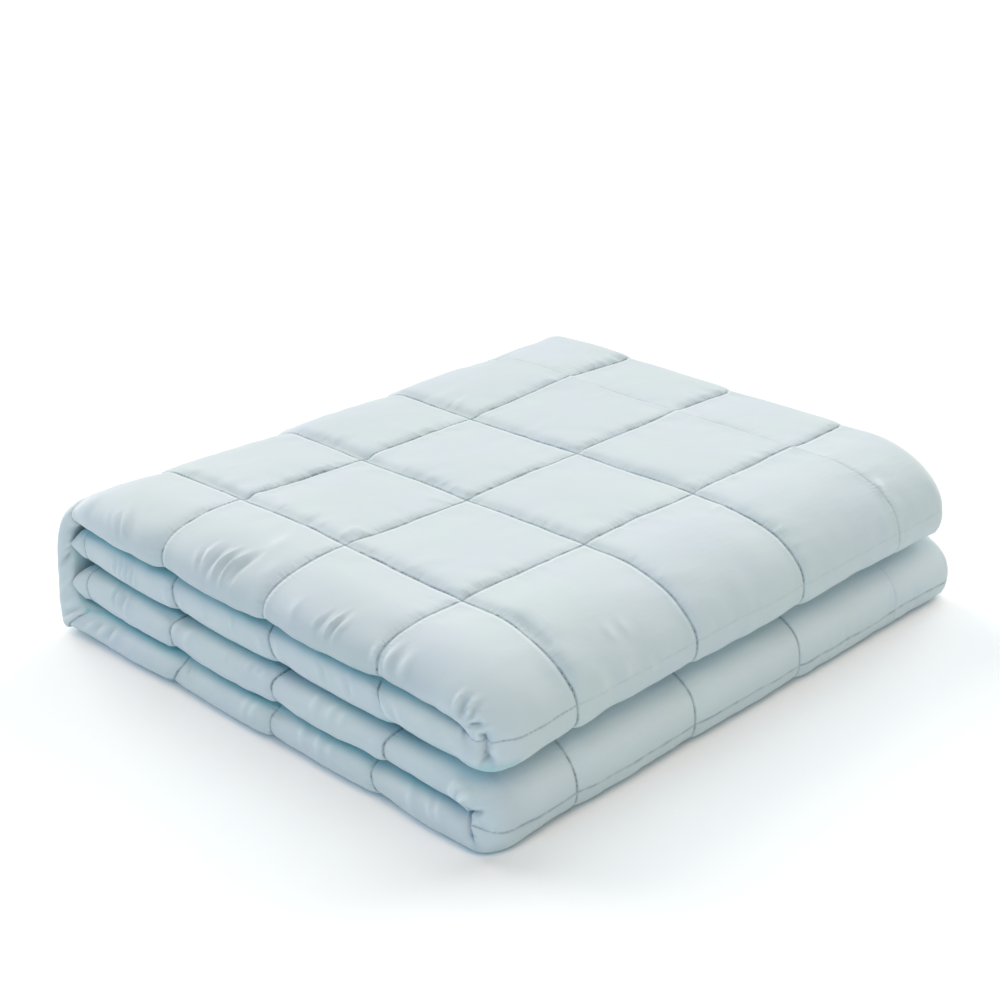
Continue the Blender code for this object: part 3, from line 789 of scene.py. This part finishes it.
# ---- faces: one for each square of the grid beside seams and creases and round the left side, one
# for two by two of them elsewhere on what shows, one for four by four inside
ringCount, columnCount = rings.shape
ringPlaces = placeAt(ringAt)
busy = (abs(toS) < 0.010) & (seamDeep > 0.2) | (abs(toS) < 0.0025)
busy |= (abs(toT) < 0.010) | (abs(folds) > 0.0002)
fine = (isBetween(0.97, 3.05) | isBetween(4.98, 6.02)) & busy & (kind == 1)
fine[:, nose[0] - 4 : nose[-1] + 1] = True
groups = []  # first and last column of each strip of up to four like columns
column = 0
while column < columnCount:
    width = 4 if kind[column] in (1, 2) else 1
    alike = np.flatnonzero(kind[column : column + width] != kind[column])
    groups.append((column, min(column + (alike[0] if len(alike) else width), columnCount)))
    column = groups[-1][1]


def blockSize(ring, first, last):
    # how many rings and columns of the grid one face covers
    if kind[first] != 1 and kind[first] != 2:
        return (4, 1) if kind[first] == 0 else (2, 1)
    if fine[ring : ring + 4, first:last].any():
        return 1, 1
    return (2, 2) if 0.97 < ringPlaces[ring] < 4.0 or 4.98 < ringPlaces[ring] < 6.02 else (4, 4)


blocks = []
used = np.zeros((ringCount, columnCount), bool)
for ring in range(0, ringCount - 1, 4):
    for first, last in groups:
        high, wide = blockSize(ring, first, last)
        for i in range(ring, min(ring + 4, ringCount - 1), high):
            for j in range(first, last, wide):
                iEnd, jEnd = min(i + high, ringCount - 1), min(j + wide, last)
                blocks.append((i, j, iEnd, jEnd))
                used[[i, iEnd], j] = used[[i, iEnd], jEnd % columnCount] = True

newIndex = np.cumsum(used.ravel()).reshape(used.shape) - 1


def rim(i, j, iEnd, jEnd):
    # the block's outline, with every point on it that some face uses
    walk = [(k, j) for k in range(i, iEnd)] + [(iEnd, k) for k in range(j, jEnd)]
    walk += [(k, jEnd) for k in range(iEnd, i, -1)] + [(i, k) for k in range(jEnd, j, -1)]
    return [int(newIndex[k, m % columnCount]) for k, m in walk if used[k, m % columnCount]]


faces = [rim(*block) for block in blocks]
faces.append([int(newIndex[0, k]) for k in range(columnCount) if used[0, k]])
faces.append([int(newIndex[-1, k]) for k in range(columnCount - 1, -1, -1) if used[-1, k]])
shape = bpy.data.meshes.new("blanket")
shape.from_pydata(points[used].tolist(), [], faces)
shape.shade_smooth()
clothUv = shape.uv_layers.new(name="cloth")
loopPoints = np.empty(len(shape.loops), int)
shape.loops.foreach_get("vertex_index", loopPoints)
clothUv.data.foreach_set("uv", np.stack([t[used], s[used]], axis=1)[loopPoints].ravel())


def keep(name, values):
    attribute = shape.attributes.new(name, "FLOAT", "POINT")
    attribute.data.foreach_set("value", values[used])


keep("seamShade", seamShade)
keep("foldShade", foldShade)
keep("foldLight", foldLight)
keep("crossTicks", np.exp(-((toS / 0.006) ** 2)) * seamDeep * outer)
keep("longTicks", np.exp(-((toT / 0.006) ** 2)) * outer)
blanket = bpy.data.objects.new("blanketQuilt", shape)
bpy.context.scene.collection.objects.link(blanket)
print("blanket", sum(len(face) - 2 for face in faces), "triangles")

# ---- the thread: rows of small stitches in the seams that show
thread = {
    "stitch": 0.0031,
    "pitch": 0.0041,
    "radius": 0.00034,
    "lift": 0.00018,  # of a stitch's middle above the cloth
    "dark": (0.30, 0.40, 0.44, 1),
    "pale": (0.42, 0.53, 0.57, 1),
}
stitchAt = []  # middle, direction and normal of each stitch


def sewAlong(path, upward):
    # walks along a seam and sets a stitch at each step
    walked = np.concatenate([[0], np.cumsum(np.linalg.norm(np.diff(path, axis=0), axis=1))])
    middles = np.arange(thread["pitch"] / 2, walked[-1] - thread["pitch"] / 2, thread["pitch"])

    def at(values, where):
        return np.stack([np.interp(where, walked, column) for column in values.T], axis=1)

    heading = at(path, middles + thread["stitch"] / 2) - at(path, middles - thread["stitch"] / 2)
    middle = (at(path, middles + thread["stitch"] / 2) + at(path, middles - thread["stitch"] / 2)) / 2
    stitchAt.extend(zip(middle, heading, at(upward, middles)))


facing = normalsOf(points)
for seam, length in zip(seams, seamLengths):
    row = np.argmin(abs(ringAt - length))
    seen = np.arange(nose[0] - 6, nose[-1] - 3)
    if seam.section in (2, 3):
        seen = np.arange(0, nose[-1] - 3)
    elif seam.section in (1, 5):
        seen = np.arange(np.argmin(abs(faceAt - seamXs[0])), nose[-1] - 3)
    sewAlong(points[row, seen], facing[row, seen])
for seamX in seamXs:
    seamColumn = np.argmin(abs(faceAt - seamX))
    stretches = ((1.06, 1.40), (3.00, 3.98)) if seamX == seamXs[-1] else ((1.06, 3.98), (5.02, 5.94))
    for first, last in stretches:
        seen = np.flatnonzero((ringPlaces > first) & (ringPlaces < last))
        sewAlong(points[seen, seamColumn], facing[seen, seamColumn])

# a stitch is a thin spindle of four sides, its two ends in the cloth
spindle = (  # share of its length, of its radius and of its lift
    (-0.5, 0.0, -0.7),
    (-0.3, 0.85, 0.4),
    (0.0, 1.0, 1.0),
    (0.3, 0.85, 0.4),
    (0.5, 0.0, -0.7),
)
middles, headings, upwards = (np.array(part) for part in zip(*stitchAt))
upwards = upwards - headings * (np.sum(upwards * headings, axis=1) / np.sum(headings**2, axis=1))[:, None]
upwards /= np.linalg.norm(upwards, axis=1, keepdims=True)
sideways = np.cross(upwards, headings / np.linalg.norm(headings, axis=1, keepdims=True))
stitchPoints = []
for along, thick, rise in spindle:
    centres = middles + headings * along + upwards * rise * thread["lift"]
    for turn in np.radians((0, 90, 180, 270) if thick else (0,)):
        reach = sideways * np.cos(turn) + upwards * np.sin(turn)
        stitchPoints.append(centres + reach * thick * thread["radius"])
stitchPoints = np.stack(stitchPoints, axis=1)
stitchFaces = []
for k in range(4):
    after = (k + 1) % 4
    stitchFaces += [(0, 1 + after, 1 + k), (13, 9 + k, 9 + after)]
    stitchFaces += [(1 + k, 1 + after, 5 + after, 5 + k), (5 + k, 5 + after, 9 + after, 9 + k)]
threadMesh = bpy.data.meshes.new("thread")
threadFaces = [[k + 14 * number for k in face] for number in range(len(stitchPoints)) for face in stitchFaces]
threadMesh.from_pydata(stitchPoints.reshape(-1, 3).tolist(), [], threadFaces)
threadMesh.shade_smooth()
stitching = bpy.data.objects.new("quiltStitches", threadMesh)
bpy.context.scene.collection.objects.link(stitching)
print("thread", len(stitchPoints), "stitches,", 24 * len(stitchPoints), "triangles")


# ---- materials
class Socket:
    # a shader value that takes Python's arithmetic, each step as a Math node
    def __init__(self, tree, link):
        self.tree = tree
        self.link = link

    def math(self, operation, *values):
        return self.tree.node("Math", {"operation": operation}, {k: v for k, v in enumerate(values)})

    def __add__(self, other):
        return self.math("ADD", self, other)

    def __sub__(self, other):
        return self.math("SUBTRACT", self, other)

    def __rsub__(self, other):
        return self.math("SUBTRACT", other, self)

    def __mul__(self, other):
        return self.math("MULTIPLY", self, other)

    __radd__ = __add__
    __rmul__ = __mul__


class Material:
    def __init__(self, name, **constants):
        self.data = bpy.data.materials.new(name)
        self.data.use_nodes = True
        self.tree = self.data.node_tree
        self.surface = self.tree.nodes["Principled BSDF"]
        for key, value in constants.items():
            self.surface.inputs[key].default_value = value

    def node(self, type, settings=None, inputs=None, output=0):
        made = self.tree.nodes.new("ShaderNode" + type)
        for key, value in (settings or {}).items():
            setattr(made, key, value)
        for key, value in (inputs or {}).items():
            if isinstance(value, Socket):
                self.tree.links.new(value.link, made.inputs[key])
            else:
                made.inputs[key].default_value = value
        return Socket(self, made.outputs[output])

    def feed(self, name, socket):
        self.tree.links.new(socket.link, self.surface.inputs[name])


satin = {
    "light": (0.583, 0.642, 0.639, 1),  # with a touch of green
    "deep": (0.585, 0.630, 0.668, 1),  # with a touch of lilac
    "between": (0.27, 0.54, 0.57, 1),  # painted shade where the light goes from layer to layer
    # the seams' dark lines, and painted shade in troughs, hollows and on the roll
    "seam": (0.05, 0.10, 0.12, 1),
    "lit": (0.78, 0.84, 0.86, 1),  # painted highlight on narrow ridges and seam edges, where the satin shines, and painted light between the fronts
    "roughness": 0.58,
    "sheen": 0.15,
    "weave": 1500,  # threads a metre
}
cloth = Material("iceBlueSatin", **{"Sheen Weight": satin["sheen"], "Sheen Roughness": 0.4, "IOR": 1.40})
clothPlace = cloth.node("UVMap", {"uv_map": "cloth"})
patches = cloth.node("TexNoise", inputs={"Vector": clothPlace, "Scale": 14.0, "Detail": 3.0})


def mixed(material, share, first, second):
    return material.node("Mix", {"data_type": "RGBA"}, {0: share, 6: first, 7: second}, 2)


def kept(name):
    # a value that the mesh keeps for each of its points
    return cloth.node("Attribute", {"attribute_name": name}, output=2)


satinColour = mixed(cloth, patches * 2.6 - 0.8, satin["light"], satin["deep"])
# painted shade between the layers, on the fronts and inside
satinColour = mixed(cloth, kept("foldShade") * 0.9, satinColour, satin["between"])
# painted highlights and painted light from the floor
satinColour = mixed(cloth, kept("foldLight") * 0.8, satinColour, satin["lit"])
# seam lines and painted shade
cloth.feed("Base Color", mixed(cloth, kept("seamShade"), satinColour, satin["seam"]))
cloth.feed("Roughness", satin["roughness"] + patches * 0.10 - 0.05)


def streaks(across, along, detail):
    # a noise that is drawn out in one direction of the cloth
    size = cloth.node("VectorMath", {"operation": "MULTIPLY"}, {0: clothPlace, 1: (across, along, 1)})
    return cloth.node("TexNoise", inputs={"Vector": size, "Scale": 1.0, "Detail": detail, "Roughness": 0.5})


crossTicks = kept("crossTicks") * streaks(420, 70, 2.0)
longTicks = kept("longTicks") * streaks(70, 420, 2.0)
wrinkles = streaks(30, 95, 3.0)
grain = cloth.node("TexNoise", inputs={"Vector": clothPlace, "Scale": satin["weave"], "Detail": 1.0})
relief = crossTicks * 2.4 + longTicks * 1.4 + wrinkles * 0.8 + grain * 0.05
cloth.feed("Normal", cloth.node("Bump", inputs={"Height": relief, "Strength": 0.5, "Distance": 0.0012}))
shape.materials.append(cloth.data)

yarn = Material("paleBlueThread", **{"Roughness": 0.5, "Sheen Weight": 0.2})
yarnPlace = yarn.node("TexCoord", output="Object")
strands = yarn.node("TexNoise", inputs={"Vector": yarnPlace, "Scale": 900.0, "Detail": 1.0})
yarn.feed("Base Color", mixed(yarn, strands, thread["dark"], thread["pale"]))
threadMesh.materials.append(yarn.data)

# ---- floor, light and camera
floorMesh = bpy.data.meshes.new("floor")
floorMesh.from_pydata([(-30, -30, 0), (30, -30, 0), (30, 30, 0), (-30, 30, 0)], [], [(0, 1, 2, 3)])
floor = bpy.data.objects.new("floor", floorMesh)
floor.location.z = -0.0002
bpy.context.scene.collection.objects.link(floor)
paper = Material("palePaper", **{
    "Base Color": (0.94, 0.94, 0.94, 1),
    "Roughness": 0.9,
    "Emission Color": (1, 0.98, 0.97, 1),
    "Emission Strength": 0.035,
})
floorMesh.materials.append(paper.data)

world = bpy.data.worlds.new("studio")
bpy.context.scene.world = world
world.use_nodes = True
world.node_tree.nodes["Background"].inputs["Color"].default_value = (0.92, 0.97, 1.0, 1)
world.node_tree.nodes["Background"].inputs["Strength"].default_value = 0.02

studio = {  # direction that the light comes from, strength, width in degrees, colour
    "frontLeft": ((-0.42, -0.40, 1.0), 1.26, 40, (1.0, 0.74, 0.55)),
    "right": ((1.0, 0.10, 0.50), 1.68, 50, (1.0, 0.99, 0.96)),
    "back": ((0.0, 1.0, 0.50), 2.28, 50, (1.0, 0.96, 0.93)),
    "backRight": ((0.42, 0.40, 1.0), 0.93, 40, (0.76, 0.92, 1.0)),
    "frontLow": ((0.0, -1.0, 0.20), 0.57, 50, (0.70, 1.0, 0.99)),
    "left": ((-0.85, -0.20, 0.55), 0.98, 50, (0.15, 0.62, 1.0)),
}
for lampName, (comesFrom, strength, width, tint) in studio.items():
    lamp = bpy.data.lights.new(lampName, "SUN")
    lamp.energy = strength
    lamp.angle = np.radians(width)
    lamp.color = tint
    lampObject = bpy.data.objects.new(lampName, lamp)
    lampObject.rotation_mode = "QUATERNION"
    lampObject.rotation_quaternion = Vector(comesFrom).to_track_quat("Z", "Y")
    bpy.context.scene.collection.objects.link(lampObject)

photo = {
    "focal": 68.15,  # mm on a 36 mm sensor
    "yaw": -44.55,
    "pitch": 23.43,
    "roll": -1.26,
    "from": (-0.93017, -0.93868, 0.66601),
}
yaw, pitch, roll = (np.radians(photo[key]) for key in ("yaw", "pitch", "roll"))
back = np.array((np.sin(yaw) * np.cos(pitch), -np.cos(yaw) * np.cos(pitch), np.sin(pitch)))
side = np.array((np.cos(yaw), np.sin(yaw), 0.0))
up = np.cross(back, side)
side, up = side * np.cos(roll) + up * np.sin(roll), up * np.cos(roll) - side * np.sin(roll)
lens = bpy.data.cameras.new("photo")
lens.lens = photo["focal"]
lens.sensor_width = 36
camera = bpy.data.objects.new("photo", lens)
camera.matrix_world = Matrix.Translation(photo["from"]) @ Matrix((side, up, back)).transposed().to_4x4()
bpy.context.scene.collection.objects.link(camera)
bpy.context.scene.camera = camera
bpy.context.scene.view_settings.view_transform = "Standard"

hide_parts("blanket")
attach(blanket, "root")
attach(stitching, "root")
